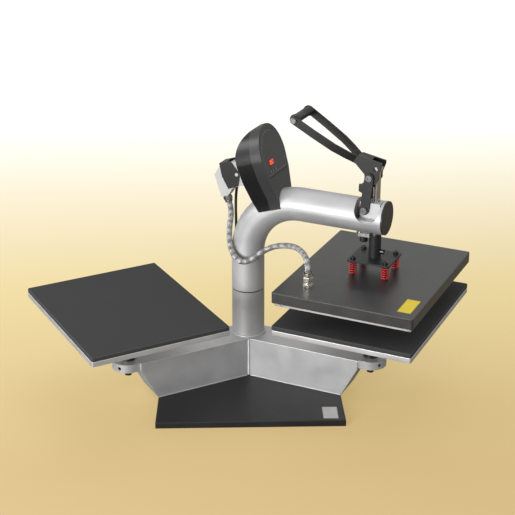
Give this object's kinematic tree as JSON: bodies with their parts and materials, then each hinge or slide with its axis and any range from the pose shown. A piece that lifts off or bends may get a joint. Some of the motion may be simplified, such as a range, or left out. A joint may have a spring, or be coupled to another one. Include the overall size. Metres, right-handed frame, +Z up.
{
  "type": "dual station heat press",
  "caption": "Swing-arm heat press with a sprung heated platen on a toggle lever over two fixed work stations, control box on a bent arm and a heavy base plate.",
  "frame": {"origin": "column axis on the floor, under the base plate", "axes": "+Z up, -Y towards the operator, stations to the right (+X) and left (-X) of the column"},
  "size_m": [1.2702, 0.6991, 0.8371],
  "materials": {
    "silver_paint": "satin metallic silver paint",
    "black_satin_paint": "satin black powder coat",
    "black_coat": "semi-gloss black powder coat",
    "bright_steel": "machined bright steel",
    "chrome_rod": "hard chrome",
    "black_steel": "black oxide",
    "cast_plate": "ground aluminium",
    "dark_pad": "matte charcoal silicone foam",
    "black_plastic": "fine textured black",
    "gloss_black": "semi-gloss black",
    "face_membrane": "dark membrane",
    "red_display": "dark red window with lit digits",
    "circuit_board": "green circuit board",
    "light_gray_shell": "light gray die-cast look",
    "nickel": "nickel plated brass",
    "braid": "stainless steel braid",
    "red_spring": "red enamel on spring steel",
    "insulation": "ceramic fibre mat",
    "black_lead": "black cable sheath",
    "gray_button": "soft gray key"
  },
  "bodies": {
    "stand": {"floor_plate": "black_satin_paint", "beam_right": "silver_paint", "beam_left": "silver_paint", "lug_right": "silver_paint", "lug_left": "silver_paint", "lug_set_screws": "black_steel", "column_post": "silver_paint", "pivot_shaft": "bright_steel", "thrust_ring": "black_steel", "mains_lead": "black_lead", "mains_coil": "black_lead", "mains_plug": "black_plastic"},
    "platen_right": {"swivel_post_right": "bright_steel", "tray_right": "cast_plate", "pad_right": "dark_pad"},
    "platen_left": {"swivel_post_left": "bright_steel", "tray_left": "cast_plate", "pad_left": "dark_pad"},
    "arm": {"arm_tube": "silver_paint", "arm_end_cap": "black_plastic", "guide_block": "silver_paint", "link_pivot_bolts": "black_steel", "box_front": "gloss_black", "box_rear": "black_plastic", "face_panel": "face_membrane", "display_window": "red_display", "controller_board": "circuit_board", "connector_base": "light_gray_shell", "connector_hood": "light_gray_shell", "hose_gland": "nickel", "braided_hose": "braid", "mains_gland": "black_plastic"},
    "latch": {"connector_latch": "black_coat"},
    "links": {"link_front": "black_coat", "link_back": "black_coat", "link_top_bolts": "black_steel", "stop_block": "black_coat", "stop_screw": "black_steel"},
    "lever": {"lever_clevis": "black_coat", "lever_bar_front": "black_coat", "lever_bar_back": "black_coat", "grip_bolt": "black_steel"},
    "grip": {"hand_grip": "black_plastic"},
    "plunger": {"plunger_shaft": "chrome_rod", "toggle_pin": "bright_steel", "plunger_sleeve": "black_coat", "clamp_screw": "chrome_rod", "spring_plate": "black_coat", "press_springs": "red_spring", "guide_bar": "bright_steel", "guide_pin": "bright_steel", "guide_nut": "black_coat"},
    "heat_platen": {"heat_casing": "black_satin_paint", "heat_insulation": "insulation", "heat_plate": "cast_plate", "press_bolts": "black_steel", "hose_fitting": "nickel"},
    "key_left": {"button_left": "gray_button"},
    "key_middle": {"button_middle": "gray_button"},
    "key_right": {"button_right": "gray_button"}
  },
  "joints": [
    {"name": "arm_swing", "type": "hinge", "parent": "stand", "child": "arm", "pos_m": [0, 0, 0.283], "axis": [0, 0, 1], "range_deg": [-126.8, 0], "deforming": ["mains_lead"]},
    {"name": "right_platen_swivel", "type": "hinge", "parent": "stand", "child": "platen_right", "pos_m": [0.34604, -0.17328, 0.126], "axis": [0, 0, 1], "range_deg": [-30, 30]},
    {"name": "left_platen_swivel", "type": "hinge", "parent": "stand", "child": "platen_left", "pos_m": [-0.34604, -0.17328, 0.126], "axis": [0, 0, 1], "range_deg": [-30, 30]},
    {"name": "plunger_slide", "type": "slide", "parent": "arm", "child": "plunger", "axis": [0, 0, -1], "range_m": [0, 0.06013], "deforming": ["braided_hose"]},
    {"name": "platen_float", "type": "slide", "parent": "plunger", "child": "heat_platen", "axis": [0, 0, 1], "range_m": [0, 0.004], "stiffness_N_per_m": 20000, "deforming": ["press_springs"]},
    {"name": "link_swing", "type": "hinge", "parent": "arm", "child": "links", "pos_m": [0.32216, -0.16133, 0.5848], "axis": [0.4478, 0.8942, 0], "range_deg": [0, 17.63]},
    {"name": "lever_throw", "type": "hinge", "parent": "links", "child": "lever", "pos_m": [0.33209, -0.1663, 0.6786], "axis": [0.4478, 0.8942, 0], "range_deg": [0, 155.11]},
    {"name": "grip_spin", "type": "hinge", "parent": "lever", "child": "grip", "pos_m": [0.14593, -0.07307, 0.8221], "axis": [0.4478, 0.8942, 0], "continuous": true},
    {"name": "latch_lift", "type": "hinge", "parent": "arm", "child": "latch", "pos_m": [-0.0235, -0.00501, 0.63387], "axis": [0.4478, 0.8942, 0], "range_deg": [0, 45]},
    {"name": "left_key_press", "type": "slide", "parent": "arm", "child": "key_left", "axis": [-0.8504, 0.4258, -0.309], "range_m": [0, 0.0012], "stiffness_N_per_m": 300, "springref_m": -0.002},
    {"name": "middle_key_press", "type": "slide", "parent": "arm", "child": "key_middle", "axis": [-0.8504, 0.4258, -0.309], "range_m": [0, 0.0012], "stiffness_N_per_m": 300, "springref_m": -0.002},
    {"name": "right_key_press", "type": "slide", "parent": "arm", "child": "key_right", "axis": [-0.8504, 0.4258, -0.309], "range_m": [0, 0.0012], "stiffness_N_per_m": 300, "springref_m": -0.002}
  ],
  "couplings": [
    {"joint": "link_swing", "follows": "plunger_slide", "rad_per_m": 5.1118},
    {"joint": "lever_throw", "follows": "plunger_slide", "rad_per_m": 45.015}
  ]
}
